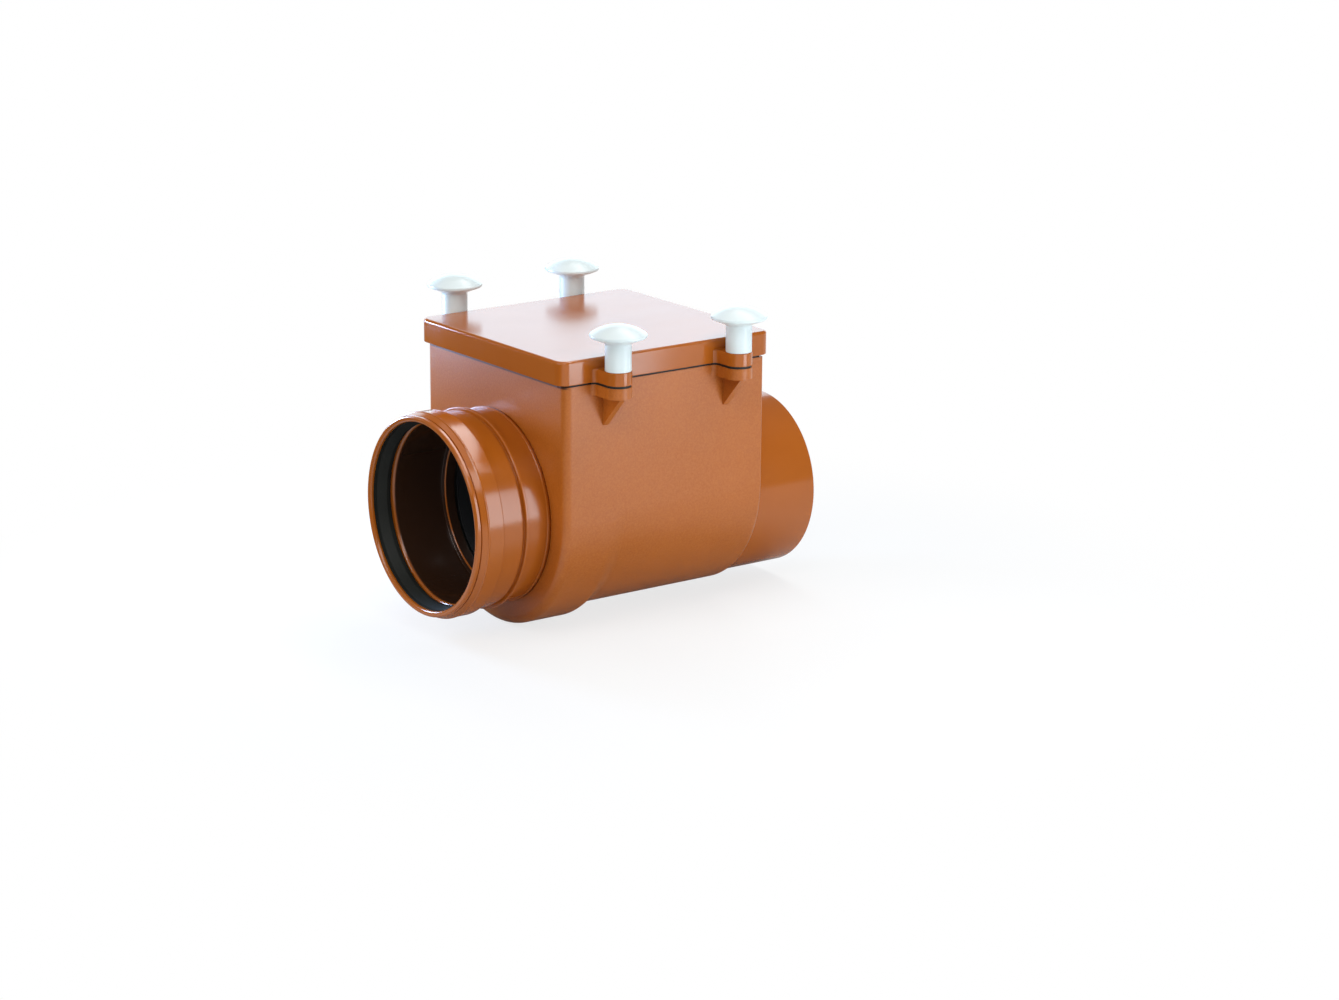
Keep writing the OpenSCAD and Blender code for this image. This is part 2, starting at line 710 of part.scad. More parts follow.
module flap() {
    back_x = plate_x + flap_t;
    arm_z = flap_r * cos(asin(knuckle_span / 2 / flap_r)) - 2 * flap_rib_w;
    color(inner_grey) on_seat() difference() {
        union() {
            translate([plate_x, 0, 0]) along_x() cylinder(r = flap_r, h = flap_t);
            translate([seal_gap, 0, 0]) along_x() cylinder(r = boss_r - weld_gap, h = seal_t + join);
            translate([back_x - join, 0, 0]) along_x() difference() {
                cylinder(r = flap_r, h = flap_rib_h + join);
                translate([0, 0, -join]) cylinder(r = flap_r - flap_rib_w, h = flap_rib_h + 3 * join);
            }
            for (turn = [0, 90]) rotate([turn, 0, 0]) {
                translate([back_x - join, -flap_rib_w / 2, join - flap_r])
                    cube([flap_rib_h + join, flap_rib_w, 2 * (flap_r - join)]);
            }
            for (side = [-1, 1]) {
                translate([plate_x, side * knuckle_span / 2 - knuckle_w / 2, arm_z])
                    cube([flap_t, knuckle_w, hinge_lz - arm_z]);
                translate([hinge_lx, side * knuckle_span / 2, hinge_lz]) rotate([90, 0, 0])
                    cylinder(r = knuckle_r, h = knuckle_w, center = true);
            }
        }
        translate([hinge_lx, 0, hinge_lz]) rotate([90, 0, 0])
            cylinder(r = pin_r + weld_gap, h = 2 * pin_half, center = true);
        at_retainer_screws() translate([-join, 0, 0]) along_x()
            cylinder(r = retainer_screw_r + weld_gap, h = retainer_screw_depth + join);
    }
}

module flap_seal() {
    color(rubber) on_seat() translate([seal_gap, 0, 0]) along_x() difference() {
        cylinder(r = flap_r - flap_past_seat / 2, h = seal_t);
        translate([0, 0, -join]) cylinder(r = boss_r, h = seal_t + 2 * join);
    }
}

module seal_retainer() {
    color(steel) on_seat() difference() {
        translate([seal_gap - retainer_t, 0, 0]) along_x() cylinder(r = retainer_r, h = retainer_t);
        translate([-2 * retainer_t, 0, 0]) along_x() cylinder(r = retainer_hole_r, h = 4 * retainer_t);
        at_retainer_screws() translate([-2 * retainer_t, 0, 0]) along_x()
            cylinder(r = retainer_screw_r + weld_gap, h = 4 * retainer_t);
    }
}

module retainer_screws() {
    color(steel) on_seat() at_retainer_screws() {
        translate([-retainer_t - retainer_head_h, 0, 0]) along_x()
            cylinder(r = retainer_head_r, h = retainer_head_h);
        translate([-retainer_t - join, 0, 0]) along_x()
            cylinder(r = retainer_screw_r, h = retainer_t + join + retainer_screw_depth - weld_gap);
    }
}

valve_housing();
inlet_socket();
socket_lip_seal();
outlet_spigot();
lid();
lid_gasket();
thread_inserts();
hold_down_pads();
flap_frame();
frame_gasket();
hinge_bushes();
hinge_pin();
pin_clips();
flap();
flap_seal();
seal_retainer();
retainer_screws();
screw_washer(0);  // screw_washer_1
screw_washer(1);  // screw_washer_2
screw_washer(2);  // screw_washer_3
screw_washer(3);  // screw_washer_4
hand_screw(0);  // hand_screw_1
hand_screw(1);  // hand_screw_2
hand_screw(2);  // hand_screw_3
hand_screw(3);  // hand_screw_4
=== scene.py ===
import json
import math

import bmesh
import bpy
from mathutils import Matrix, Vector


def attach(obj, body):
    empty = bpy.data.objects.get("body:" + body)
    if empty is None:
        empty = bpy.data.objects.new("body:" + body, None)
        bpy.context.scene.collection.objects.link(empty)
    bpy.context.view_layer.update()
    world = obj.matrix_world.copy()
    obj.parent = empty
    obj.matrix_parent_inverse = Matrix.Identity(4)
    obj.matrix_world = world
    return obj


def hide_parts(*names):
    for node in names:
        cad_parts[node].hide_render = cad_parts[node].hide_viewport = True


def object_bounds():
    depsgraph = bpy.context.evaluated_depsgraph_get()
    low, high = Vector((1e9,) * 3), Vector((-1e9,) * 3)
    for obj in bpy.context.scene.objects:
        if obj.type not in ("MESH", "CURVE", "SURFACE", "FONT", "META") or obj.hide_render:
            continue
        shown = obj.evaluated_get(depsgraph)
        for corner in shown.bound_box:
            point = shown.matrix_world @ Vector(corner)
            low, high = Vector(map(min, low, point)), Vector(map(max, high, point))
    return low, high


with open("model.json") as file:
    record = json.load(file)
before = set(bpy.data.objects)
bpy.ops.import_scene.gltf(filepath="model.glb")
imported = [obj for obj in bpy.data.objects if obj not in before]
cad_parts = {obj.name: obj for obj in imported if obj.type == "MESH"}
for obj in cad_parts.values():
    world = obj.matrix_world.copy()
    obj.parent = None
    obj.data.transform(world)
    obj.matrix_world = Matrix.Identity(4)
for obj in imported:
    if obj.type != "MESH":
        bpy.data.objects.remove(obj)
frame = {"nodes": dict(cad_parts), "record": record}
cad_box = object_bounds()
MM = 0.001
FLOOR_GAP = 0.3 * MM
FLOOR_Z = cad_box[0][2] - FLOOR_GAP

SLOT_OF = {part["node"]: part["material_slot"] for part in frame["record"]["subparts"]}
BODY_OF = {node: body for body, members in frame["record"]["behaviour"]["bodies"].items()
           for node in members}
MOUNT = {mount["name"]: mount for mount in frame["record"]["mounts"]}
JOINT = {joint["name"]: joint for joint in frame["record"]["behaviour"]["joints"]}

# Radii that pieces or finishes share, in millimetres
BORE_R = MOUNT["inlet_socket"]["dims"]["r_mm"]
PIPE_R = MOUNT["outlet_spigot"]["dims"]["r_mm"]
FLOW_R = 51.8
NOSE_R = 53.35


# Finishes

class Value:
    """A number in a node tree: Python's operators on it add Math nodes."""

    def __init__(self, nodes, socket):
        self.nodes = nodes
        self.socket = socket

    def math(self, operation, first, second):
        return self.nodes.node("ShaderNodeMath", {"operation": operation}, {0: first, 1: second})

    def __add__(self, other):
        return self.math("ADD", self, other)

    def __sub__(self, other):
        return self.math("SUBTRACT", self, other)

    def __rsub__(self, other):
        return self.math("SUBTRACT", other, self)

    def __mul__(self, other):
        return self.math("MULTIPLY", self, other)

    __radd__ = __add__
    __rmul__ = __mul__


class Nodes:
    """The node tree of a material or world, and patterns made in it."""

    def __init__(self, tree):
        self.tree = tree

    def node(self, kind, settings=None, inputs=None, output=0):
        made = self.tree.nodes.new(kind)
        for name, value in (settings or {}).items():
            if name == "stops":
                for stop, (place, grey) in zip(made.color_ramp.elements, value):
                    stop.position = place
                    stop.color = shade(grey, grey, grey)
            else:
                setattr(made, name, value)
        for name, value in (inputs or {}).items():
            self.feed(made.inputs[name], value)
        return Value(self, made.outputs[output])

    def feed(self, socket, value):
        if isinstance(value, Value):
            self.tree.links.new(value.socket, socket)
        else:
            socket.default_value = value

    def rays(self):
        return (self.node("ShaderNodeLightPath", output=name) for name in (
            "Is Camera Ray", "Is Glossy Ray", "Is Transmission Ray"))

    def place(self, scale=(1, 1, 1)):
        where = self.node("ShaderNodeTexCoord", output="Object")
        return self.node("ShaderNodeMapping", {}, {"Vector": where, "Scale": scale})

    def vector(self, operation, first, second=(0, 0, 0), output="Value"):
        return self.node("ShaderNodeVectorMath", {"operation": operation}, {0: first, 1: second}, output)

    def along(self, direction):
        return self.vector("DOT_PRODUCT", self.place(), direction)

    def step(self, value, low, high):
        return self.node("ShaderNodeMapRange", {"interpolation_type": "SMOOTHSTEP"}, {
            "Value": value, "From Min": low, "From Max": high})

    def noise(self, scale, detail=2.0, roughness=0.5, stretch=(1, 1, 1)):
        return self.node("ShaderNodeTexNoise", {}, {
            "Vector": self.place(stretch), "Scale": scale, "Detail": detail, "Roughness": roughness})

    def contrast(self, value, low, high):
        return self.node("ShaderNodeValToRGB", {"stops": ((low, 0), (high, 1))}, {"Fac": value})

    def mix(self, amount, first, second):
        return self.node("ShaderNodeMix", {"data_type": "RGBA"}, {
            "Factor": amount, 6: first, 7: second}, output=2)


class Finish(Nodes):
    """One procedural material and its shader."""

    def __init__(self, name, **fixed):
        self.material = bpy.data.materials.new(name)
        self.material.use_nodes = True
        super().__init__(self.material.node_tree)
        self.shader = self.tree.nodes["Principled BSDF"]
        self.set(**fixed)

    def set(self, **inputs):
        for socket, value in inputs.items():
            self.feed(self.shader.inputs[socket.replace("_", " ")], value)
        return self

    def bump(self, height, depth, strength=1.0):
        return self.set(Normal=self.node("ShaderNodeBump", {}, {
            "Height": height, "Distance": depth, "Strength": strength}))


def shade(red, green, blue):
    return (red, green, blue, 1.0)


WHITE = shade(1, 1, 1)
ORANGE_DEEP = shade(0.375, 0.088, 0.005)
ORANGE_PALE = shade(0.465, 0.122, 0.011)
ORANGE_SPECK = shade(0.50, 0.15, 0.022)
# A shaded copy of the orange, painted where shade falls
ORANGE_PAINTED_SHADE = shade(0.022, 0.013, 0.009)


def grained_orange():
    """Walls of the housing: the orange plastic with the fine grain of a textured mould, and painted shade
    right under the lid.
    """
    finish = Finish("moulded orange", IOR=1.5)
    cloud = finish.noise(22, detail=3)
    grain = finish.noise(820, detail=3, roughness=0.65)
    pits = finish.contrast(finish.noise(2100, detail=1), 0.42, 0.62)
    tone = finish.mix(cloud, ORANGE_DEEP, ORANGE_PALE)
    speckled = finish.mix(finish.contrast(grain, 0.35, 0.7) * 0.75, tone, ORANGE_SPECK)
    # Painted shade: the front wall right under the lid is darkened towards the shaded orange
    near_lid = finish.step(finish.along((0, 0, 1)), 84.9 * MM, 86.0 * MM)
    front = finish.step(finish.along((-1, 0, 0)), -6.0 * MM, -3.5 * MM)
    finish.set(Base_Color=finish.mix(near_lid * front * 0.9, speckled, ORANGE_PAINTED_SHADE),
               Roughness=0.24 + 0.14 * grain)
    return finish.bump(grain + 0.4 * pits, 0.10 * MM, 0.5)


def mottled(finish):
    """The colour of the glossy orange plastic."""
    return finish.mix(finish.noise(16, detail=3), ORANGE_DEEP, ORANGE_PALE)


def polish(finish, tone, dullness=0.13):
    """A polished mould's surface in a given colour, with faint drawing marks."""
    swirl = finish.noise(60, detail=4, roughness=0.6, stretch=(0.25, 1, 1))
    finish.set(Base_Color=tone, Roughness=dullness + 0.10 * swirl)
    return finish.bump(finish.noise(420, detail=2) + 0.5 * swirl, 0.02 * MM, 0.4)


def glossy_orange():
    """Spigot: the orange plastic from a polished mould."""
    finish = Finish("gloss orange", IOR=1.52)
    return polish(finish, mottled(finish))


def lid_orange():
    """The lid: the glossy plastic, its skirt and ears clearer than its top."""
    finish = Finish("gloss orange lid", IOR=1.52)
    top = finish.step(finish.along((0, 0, 1)), 101.6 * MM, 102.5 * MM)
    return polish(finish, mottled(finish), 0.07 + 0.06 * top)


def socket_orange():
    """The inlet socket: glossy outside, with painted shade that darkens its bore to a dull dark brown from
    the seal to the stop.
    """
    finish = Finish("gloss orange socket", IOR=1.52)
    flattened = finish.vector("MULTIPLY", finish.place(), (0, 1, 1), output="Vector")
    across = finish.vector("LENGTH", flattened)
    # Painted shade inside the bore, from the seal to the stop, leaving the rim of the stop orange
    bore = 1.0 - finish.step(across, BORE_R * MM, (BORE_R + 0.6) * MM)
    stop_rim = 1.0 - finish.step(across, (FLOW_R + 0.3) * MM, (FLOW_R + 0.9) * MM)
    stop_front = 1.0 - finish.step(finish.along((1, 0, 0)), 0.5 * MM, 1.1 * MM)
    dark = bore * (1.0 - stop_rim * stop_front) * 0.95
    return polish(finish, finish.mix(dark, mottled(finish), ORANGE_PAINTED_SHADE))


def white_plastic():
    """Hand screws and bushes: satin white plastic with a cool tint and slight flow marks."""
    finish = Finish("white plastic", IOR=1.49)
    cloud = finish.noise(45, detail=3)
    flow = finish.noise(160, detail=3, stretch=(1, 1, 0.3))
    tone = finish.mix(cloud, shade(0.74, 0.825, 0.825), shade(0.78, 0.86, 0.86))
    finish.set(Base_Color=tone, Roughness=0.24 + 0.14 * flow)
    return finish.bump(finish.noise(700, detail=2), 0.03 * MM, 0.35)


def black_rubber():
    """Seals, gaskets and pads: dull black rubber with a greenish bloom."""
    finish = Finish("black rubber", IOR=1.5)
    bloom = finish.noise(70, detail=4, roughness=0.6)
    tone = finish.mix(bloom, shade(0.005, 0.006, 0.005), shade(0.014, 0.017, 0.012))
    finish.set(Base_Color=tone, Roughness=0.48 + 0.22 * bloom)
    return finish.bump(finish.noise(1300, detail=3), 0.06 * MM, 0.5)


def grey_plastic():
    """Flap, frame and clamp ring: dark grey plastic, satin."""
    finish = Finish("dark grey plastic", IOR=1.5)
    cloud = finish.noise(35, detail=3)
    grain = finish.noise(1000, detail=2)
    tone = finish.mix(cloud, shade(0.018, 0.019, 0.021), shade(0.034, 0.035, 0.038))
    finish.set(Base_Color=tone, Roughness=0.36 + 0.18 * grain)
    return finish.bump(grain, 0.07 * MM, 0.5)


def brushed_steel():
    """Hinge pin, clips and screws: stainless steel, brushed round."""
    finish = Finish("stainless", Metallic=1.0)
    brush = finish.noise(1500, detail=2, stretch=(1, 0.05, 1))
    tone = finish.mix(brush, shade(0.50, 0.50, 0.51), shade(0.66, 0.66, 0.67))
    finish.set(Base_Color=tone, Roughness=0.24 + 0.16 * brush)
    return finish.bump(brush, 0.01 * MM, 0.4)


def turned_brass():
    """Thread inserts: turned brass with tool rings."""
    finish = Finish("brass", Metallic=1.0)
    rings = finish.noise(900, detail=2, stretch=(0.2, 0.2, 1))
    tone = finish.mix(rings, shade(0.58, 0.38, 0.13), shade(0.74, 0.53, 0.22))
    finish.set(Base_Color=tone, Roughness=0.22 + 0.16 * rings)
    return finish.bump(rings, 0.01 * MM, 0.4)


FINISHES = {
    "moulded_orange": grained_orange(),
    "gloss_orange": glossy_orange(),
    "white_plastic": white_plastic(),
    "black_rubber": black_rubber(),
    "dark_grey_plastic": grey_plastic(),
    "stainless": brushed_steel(),
    "brass": turned_brass(),
}

for name, node in frame["nodes"].items():
    node.data.materials.clear()
    node.data.materials.append(FINISHES[SLOT_OF[name]].material)


# Pieces, their sizes in millimetres

ALONG_X = Vector((1, 0, 0))
ALONG_Y = Vector((0, 1, 0))
ALONG_Z = Vector((0, 0, 1))
SHARP = math.radians(28)
MERGE = 0.002 * MM
PIPE_STEPS, SCREW_STEPS = 192, 72


def finish_piece(name, bm, body, slot):
    """Turn a bmesh into a piece that rides on a body and takes its finish from a slot."""
    mesh = bpy.data.meshes.new(name)
    bm.to_mesh(mesh)
    bm.free()
    mesh.materials.append(FINISHES[slot].material)
    piece = bpy.data.objects.new(name, mesh)
    bpy.context.scene.collection.objects.link(piece)
    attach(piece, body)
    return piece


def keep_flat(piece):
    """Smooth shading that leaves the large faces flat up to their rounded edges."""
    piece.data.shade_smooth()
    weighting = piece.modifiers.new("flat faces stay flat", "WEIGHTED_NORMAL")
    weighting.weight = 90
    weighting.keep_sharp = True


def rounded_line(corners, closed, steps=5):
    """Points of a section line: each corner (along, radius, rounding) becomes an arc."""
    points = []
    count = len(corners)
    for index, (along, radius, rounding) in enumerate(corners):
        here = Vector((along, radius))
        at_end = not closed and index in (0, count - 1)
        if at_end or rounding == 0:
            points.append(here)
            continue
        before = (Vector(corners[index - 1][:2]) - here).normalized()
        after = (Vector(corners[(index + 1) % count][:2]) - here).normalized()
        half = before.angle(after) / 2
        middle = here + (before + after).normalized() * rounding / math.sin(half)
        start = here + before * rounding / math.tan(half) - middle
        sweep = start.angle_signed(here + after * rounding / math.tan(half) - middle)
        for step in range(steps + 1):
            turned = Matrix.Rotation(-sweep * step / steps, 2) @ start
            points.append(middle + turned)
    return points


def turn_piece(name, line, closed, axis, centre, node, steps):
    """A piece turned on a lathe from a section line, in place of a node."""
    bm = bmesh.new()
    across = ALONG_Z if axis.x else ALONG_X
    verts = [bm.verts.new(centre + (axis * along + across * radius) * MM) for along, radius in line]
    pairs = list(zip(verts, verts[1:]))
    if closed:
        pairs.append((verts[-1], verts[0]))
    edges = [bm.edges.new(pair) for pair in pairs]
    bmesh.ops.spin(bm, geom=verts + edges, cent=centre, axis=axis, angle=2 * math.pi, steps=steps,
                   use_merge=True, use_normal_flip=False, use_duplicate=False)
    bmesh.ops.remove_doubles(bm, verts=bm.verts, dist=MERGE)
    bmesh.ops.recalc_face_normals(bm, faces=bm.faces)
    piece = finish_piece(name, bm, BODY_OF[node], SLOT_OF[node])
    keep_flat(piece)
    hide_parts(node)
    return piece


def socket_section():
    """Corners of the socket's section: distance from the mouth, radius and rounding."""
    mouth_r, lip_r, nick_r, seal_r = 57.5, 61.1, 60.2, 58.7
    swell_r, ridge_r, chamber_r = 62.45, 63.05, 62.75
    tube_r, tube_end_r, neck_r, rib_r, foot_r = 60.75, 60.2, 59.3, 61.7, 59.9
    lip = [(0.0, mouth_r, 1.79), (0.0, lip_r, 1.2), (2.9, lip_r, 0.35),
           (2.9, nick_r, 0.15), (3.5, nick_r, 0.15), (3.5, lip_r, 0.35)]
    chamber = [(6.6, swell_r, 0.3), (7.0, ridge_r, 0.35), (7.5, ridge_r, 0.35),
               (8.1, chamber_r, 0.3), (18.4, chamber_r, 0.8)]
    tube = [(18.4, tube_r, 0.3), (33.0, tube_end_r, 0.5), (33.0, neck_r, 0.3)]
    rib = [(34.6, neck_r, 0.3), (34.6, rib_r, 0.6), (36.6, rib_r, 0.6), (36.6, neck_r, 0.6)]
    foot = [(50.9, neck_r, 0.08), (50.9, foot_r, 0.45), (53.3, foot_r, 0),
            (53.3, NOSE_R, 0), (57.8, NOSE_R, 0.2)]
    bore = [(57.8, FLOW_R, 0.3), (50.7, FLOW_R, 0.8), (50.7, BORE_R, 0.3), (14.6, BORE_R, 2.9),
            (14.6, seal_r, 0.15), (2.6, seal_r, 0.2), (2.6, mouth_r, 0.3)]
    return lip + chamber + tube + rib + foot + bore


def add_socket():
    """The inlet socket, turned round the pipe's axis."""
    mouth_x = -50.7
    socket = turn_piece("inlet_socket_turned", rounded_line(socket_section(), True), True, ALONG_X,
                        ALONG_X * mouth_x * MM, "inlet_socket", PIPE_STEPS)
    socket.data.materials[0] = socket_orange().material


def add_spigot():
    """The spigot, from the nose in the rear wall to the chamfered end."""
    wall_x, wall_t, length, chamfer = 145.1, 4.5, 62.5, 1.0
    axis_z = MOUNT["outlet_spigot"]["pos_m"][2]
    section = [(0.0, FLOW_R, 0.2), (0.0, NOSE_R, 0.2), (wall_t, NOSE_R, 0), (wall_t, PIPE_R, 0),
               (length - chamfer, PIPE_R, 0.5), (length, PIPE_R - chamfer, 0.3), (length, FLOW_R, 0.5)]
    turn_piece("outlet_spigot_turned", rounded_line(section, True), True, ALONG_X,
               Vector((wall_x * MM, 0, axis_z)), "outlet_spigot", PIPE_STEPS)


def screw_line():
    """Section of a hand screw from its tip up: core, shank, conical underside, rim and dome."""
    core_r, shank_r, head_r = 3.9, 7.9, 17.1
    tip_z, seat_z, shank_top_z, rim_z = 81.4, 96.0, 112.9, 116.5
    dome_z, dome_r, dome_steps = 94.8, 28.9, 14
    dome = []
    for step in range(dome_steps + 1):
        angle = math.asin(head_r / dome_r) * (1 - step / dome_steps)
        dome.append((dome_z + dome_r * math.cos(angle), dome_r * math.sin(angle), 0))
    rim_top = (dome[0][0], head_r, 0.9)
    return rounded_line([(tip_z, 0, 0), (tip_z, core_r, 0.6), (seat_z, core_r, 0.1),
                         (seat_z, shank_r, 0.35), (shank_top_z, shank_r, 2.0),
                         (rim_z, head_r, 0.9), rim_top] + dome[1:], False)


def add_thread(number, axis_place):
    """The coarse thread below a hand screw's shank: a ridge wound round the core."""
    pitch, turns, steps_a_turn = 3.0, 4.3, 40
    start_z, root_r, crest_r, root_half, crest_half = 82.6, 3.7, 4.55, 1.0, 0.25
    ridge = [(root_r, -root_half), (crest_r, -crest_half), (crest_r, crest_half), (root_r, root_half)]
    bm = bmesh.new()
    verts = [bm.verts.new(axis_place + Vector((radius, 0, start_z + rise)) * MM) for radius, rise in ridge]
    edges = [bm.edges.new(pair) for pair in zip(verts, verts[1:] + verts[:1])]
    bmesh.ops.spin(bm, geom=verts + edges, cent=axis_place, axis=ALONG_Z, angle=2 * math.pi * turns,
                   dvec=ALONG_Z * (pitch / steps_a_turn) * MM, steps=round(turns * steps_a_turn),
                   use_merge=False, use_normal_flip=False, use_duplicate=False)
    bmesh.ops.holes_fill(bm, edges=[edge for edge in bm.edges if edge.is_boundary], sides=len(ridge))
    bmesh.ops.recalc_face_normals(bm, faces=bm.faces)
    node = "hand_screw_%d" % number
    finish_piece("screw_thread_%d" % number, bm, BODY_OF[node], SLOT_OF[node])


def add_hand_screws():
    """Each hand screw and its thread, on the axis of its turning joint."""
    for number in (1, 2, 3, 4):
        axis_place = Vector(JOINT["screw_%d_turn" % number]["pos_m"])
        axis_place.z = 0
        turn_piece("hand_screw_%d_turned" % number, screw_line(), False, ALONG_Z, axis_place,
                   "hand_screw_%d" % number, SCREW_STEPS)
        add_thread(number, axis_place)


def add_lid():
    """The lid's own shape with its sharp edges rounded, in place of the lid."""
    bm = bmesh.new()
    bm.from_mesh(frame["nodes"]["lid"].data)
    bmesh.ops.remove_doubles(bm, verts=bm.verts, dist=MERGE)
    bmesh.ops.dissolve_limit(bm, angle_limit=math.radians(0.05), verts=bm.verts, edges=bm.edges)
    lid = finish_piece("lid_soft", bm, BODY_OF["lid"], SLOT_OF["lid"])
    lid.data.materials[0] = lid_orange().material
    rounding = lid.modifiers.new("rounded edges", "BEVEL")
    rounding.limit_method = "ANGLE"
    rounding.angle_limit = SHARP
    rounding.width = 0.4 * MM
    rounding.segments = 3
    rounding.use_clamp_overlap = False
    keep_flat(lid)
    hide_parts("lid")


def add_pocket_ramp():
    """The smooth ramp from the deeper front of the housing's floor up to the rest of it.

    A half ring with straight rims is pushed along the floor, and its rows are then lifted to a smooth
    curve. It stands a little proud of the wall; its rims, ends and inner side lie inside the wall.
    """
    half_width, pocket_z, floor_z = 74.8, 0.5, 6.0
    start_x, length, rows, columns = 33.6, 12.4, 24, 96
    proud, sunk, thickness, rim_h = 0.04, 0.02, 2.5, 6.0
    stride = length / rows
    swell = (half_width + proud) / (half_width - sunk)
    centre = Vector((start_x - stride, 0, pocket_z)) * MM
    bm = bmesh.new()
    ends = [bm.verts.new(centre + ALONG_Y * radius * MM)
            for radius in (half_width - sunk, half_width - thickness)]
    bmesh.ops.spin(bm, geom=ends + [bm.edges.new(ends)], cent=centre, axis=-ALONG_X, angle=math.pi,
                   steps=columns, use_merge=False, use_normal_flip=False, use_duplicate=False)
    level = [edge for edge in bm.edges if all(abs(vert.co.z - centre.z) < MERGE for vert in edge.verts)]
    raised = bmesh.ops.extrude_edge_only(bm, edges=level)["geom"]
    rim = [item for item in raised if isinstance(item, bmesh.types.BMVert)]
    bmesh.ops.translate(bm, verts=rim, vec=ALONG_Z * rim_h * MM)
    section = bm.faces[:]
    for row in range(rows + 1):
        pushed = bmesh.ops.extrude_face_region(bm, geom=section)["geom"]
        if row > 0:
            bmesh.ops.delete(bm, geom=section, context="FACES")
        section = [item for item in pushed if isinstance(item, bmesh.types.BMFace)]
        moved = [item for item in pushed if isinstance(item, bmesh.types.BMVert)]
        bmesh.ops.translate(bm, verts=moved, vec=ALONG_X * stride * MM)

    # The outer skin swells out of the wall between the two ends
    arc = [vert for vert in bm.verts if vert.co.z < centre.z + MERGE]
    first_x, last_x = (start_x - stride / 2) * MM, (start_x + length - stride / 2) * MM
    skin_r = (half_width - thickness / 2) * MM
    skin = [vert for vert in arc if first_x < vert.co.x < last_x and (vert.co - centre).yz.length > skin_r]
    bmesh.ops.scale(bm, verts=skin, vec=(1, swell, swell), space=Matrix.Translation(-centre))
    for vert in arc:
        part = max(0, (vert.co.x / MM - start_x) / length)
        vert.co.z += (floor_z - pocket_z) * part * part * (3 - 2 * part) * MM
    bmesh.ops.recalc_face_normals(bm, faces=bm.faces)
    ramp = finish_piece("pocket_ramp", bm, "housing", "moulded_orange")
    ramp.data.shade_smooth()
    ramp.data.set_sharp_from_angle(angle=SHARP)


# Stage, light and camera

PHOTO_WIDTH = 1339
FOCAL_PIXELS = 3557.45
SENSOR = 36.0
AZIMUTH, ELEVATION, ROLL = -0.638407, 0.267604, 0.007565
TARGET = Vector((80, 0, 20)) * MM
DISTANCE = 2200 * MM
SLIDE_RIGHT, SLIDE_UP = 43.567 * MM, -28.772 * MM


def view_axes():
    """Right, up and back directions of the camera."""
    back = Vector((math.sin(AZIMUTH) * math.cos(ELEVATION),
                   -math.cos(AZIMUTH) * math.cos(ELEVATION), math.sin(ELEVATION)))
    right = Vector((math.cos(AZIMUTH), math.sin(AZIMUTH), 0))
    up = back.cross(right)
    turn = Matrix.Rotation(ROLL, 3, back)
    return turn @ right, turn @ up, back


def place_facing(thing, place, right, up, back):
    """Put a camera or lamp at a place, looking against its back direction."""
    bpy.context.scene.collection.objects.link(thing)
    turned = Matrix((right, up, back)).transposed().to_4x4()
    thing.matrix_world = Matrix.Translation(place) @ turned


def add_camera():
    """The camera that was fitted to the photograph."""
    right, up, back = view_axes()
    lens = bpy.data.cameras.new("camera")
    lens.sensor_fit = "HORIZONTAL"
    lens.sensor_width = SENSOR
    lens.lens = FOCAL_PIXELS * SENSOR / PHOTO_WIDTH
    lens.clip_end = 50
    camera = bpy.data.objects.new("camera", lens)
    place_facing(camera, TARGET + DISTANCE * back + SLIDE_RIGHT * right + SLIDE_UP * up, right, up, back)
    bpy.context.scene.camera = camera


def floor_finish():
    """White to the camera and, away from the object, in mirror images; a soft shadow stays near it."""
    finish = Finish("white floor", Roughness=0.9)
    glow = finish.node("ShaderNodeEmission", {}, {"Color": WHITE, "Strength": 1.0})
    seen, mirrored, through = finish.rays()
    foot = (0.08, 0, FLOOR_Z)
    reach = finish.vector("DISTANCE", finish.place(), foot)
    # Past the shadow the floor is fully white to the camera
    far = finish.step(reach, 0.20, 0.42)
    # Painted shade: close to the object the floor is dimmer in mirror images
    beyond = finish.step(reach, 0.11, 0.22)
    # Painted light and shade: well to the left of the object the floor's grey is dim, elsewhere it is lit
    lit = finish.step(finish.along((1, -0.8, 0)), -0.30, -0.08)
    share = (seen + through) * (0.75 + 0.25 * far) + mirrored * (0.03 + lit * (0.07 + 0.90 * beyond))
    grey = 0.20 + lit * (0.58 + 0.10 * beyond)
    grey = grey + mirrored * (0.05 + lit * (0.10 + 0.70 * beyond) - grey)
    grey = grey + seen * (0.9 - grey)
    finish.set(Base_Color=finish.node("ShaderNodeCombineColor", {}, {0: grey, 1: grey, 2: grey}))
    lit_floor = Value(finish, finish.shader.outputs[0])
    blend = finish.node("ShaderNodeMixShader", {}, {0: share, 1: lit_floor, 2: glow})
    finish.feed(finish.tree.nodes["Material Output"].inputs["Surface"], blend)
    return finish


def add_floor():
    """A wide white floor just under the object."""
    half_size = 9
    bm = bmesh.new()
    bmesh.ops.create_grid(bm, x_segments=1, y_segments=1, size=half_size)
    bmesh.ops.translate(bm, verts=bm.verts, vec=(0, 0, FLOOR_Z))
    mesh = bpy.data.meshes.new("floor")
    bm.to_mesh(mesh)
    bm.free()
    mesh.materials.append(floor_finish().material)
    floor = bpy.data.objects.new("floor", mesh)
    bpy.context.scene.collection.objects.link(floor)


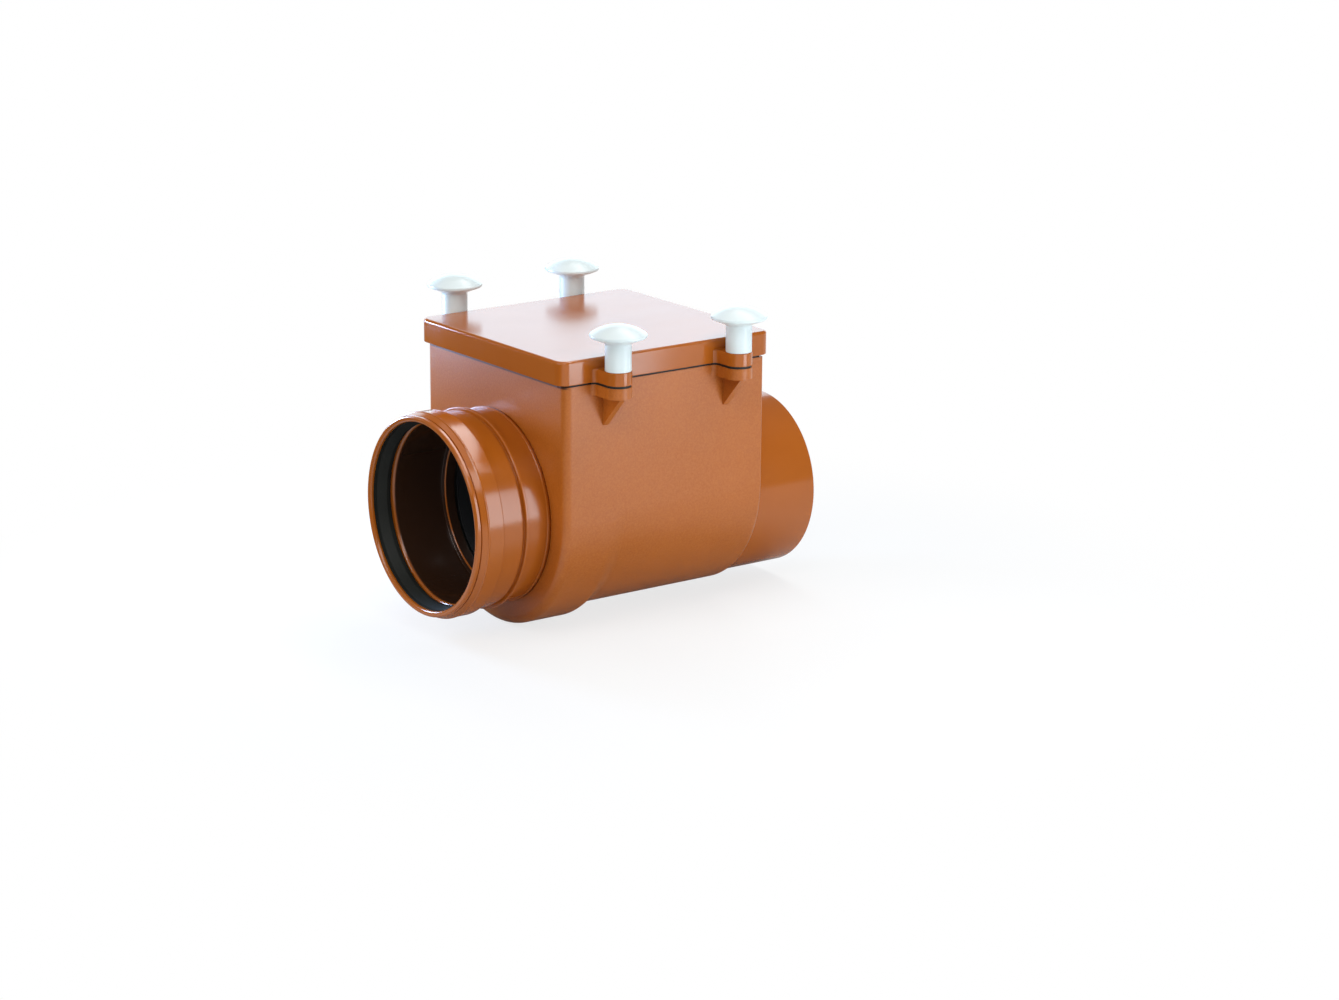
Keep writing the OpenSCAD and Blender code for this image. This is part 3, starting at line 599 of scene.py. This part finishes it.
def add_softbox(name, place, aim, size, radiance, tint=(1, 1, 1)):
    """A rectangular lamp of a given brightness at a place, turned to the point it is aimed at."""
    lamp = bpy.data.lights.new(name, "AREA")
    lamp.shape = "RECTANGLE"
    lamp.size, lamp.size_y = size
    lamp.energy = radiance * math.pi * size[0] * size[1]
    lamp.color = tint
    box = bpy.data.objects.new(name, lamp)
    back = (Vector(place) - Vector(aim)).normalized()
    side = ALONG_Z.cross(back).normalized()
    place_facing(box, place, side, back.cross(side), back)
    box.visible_camera = False


def add_world():
    """A dim even light that is white to the camera."""
    world = bpy.data.worlds.new("studio")
    bpy.context.scene.world = world
    world.use_nodes = True
    sky = Nodes(world.node_tree)
    seen, mirrored, through = sky.rays()
    backdrop = sky.tree.nodes["Background"]
    sky.feed(backdrop.inputs["Color"], WHITE)
    sky.feed(backdrop.inputs["Strength"], 0.11 + 0.89 * (seen + through) + 0.08 * mirrored)


def add_lamps():
    """Softboxes round the object: place, aim, width and height in metres, brightness and tint."""
    middle, far_corner = (0.06, 0, 0.01), (0.03, 0.10, 0.07)
    near_socket, near_middle, near_front = (-0.03, -0.06, 0.03), (0.095, -0.06, 0.0), (0.0, -0.06, 0.0)
    add_softbox("key box", (0.28, -0.58, 0.12), near_socket, (0.26, 0.36), 5.4, (0.82, 0.92, 1.0))
    add_softbox("overhead box", (0.135, -0.06, 0.85), near_middle, (1.12, 0.77), 0.90)
    add_softbox("overhead strip", (0.465, -0.06, 0.84), near_front, (1.12, 0.15), 5.6)
    add_softbox("back panel", (1.255, 1.782, 0.62), middle, (3.31, 1.1), 2.55, (0.66, 0.87, 1.0))
    add_softbox("left box", (-0.127, 0.348, 0.092), far_corner, (0.14, 0.10), 39.0, (0.46, 0.66, 1.0))
    add_softbox("front fill", (-0.57, -0.90, 1.05), middle, (1.0, 0.5), 3.7)
    add_softbox("front left box", (-1.05, -0.05, 0.50), middle, (0.5, 0.4), 6.5)


add_socket()
add_spigot()
add_hand_screws()
add_lid()
add_pocket_ramp()

bpy.context.scene.view_settings.view_transform = "Standard"
add_camera()
add_floor()
add_world()
add_lamps()
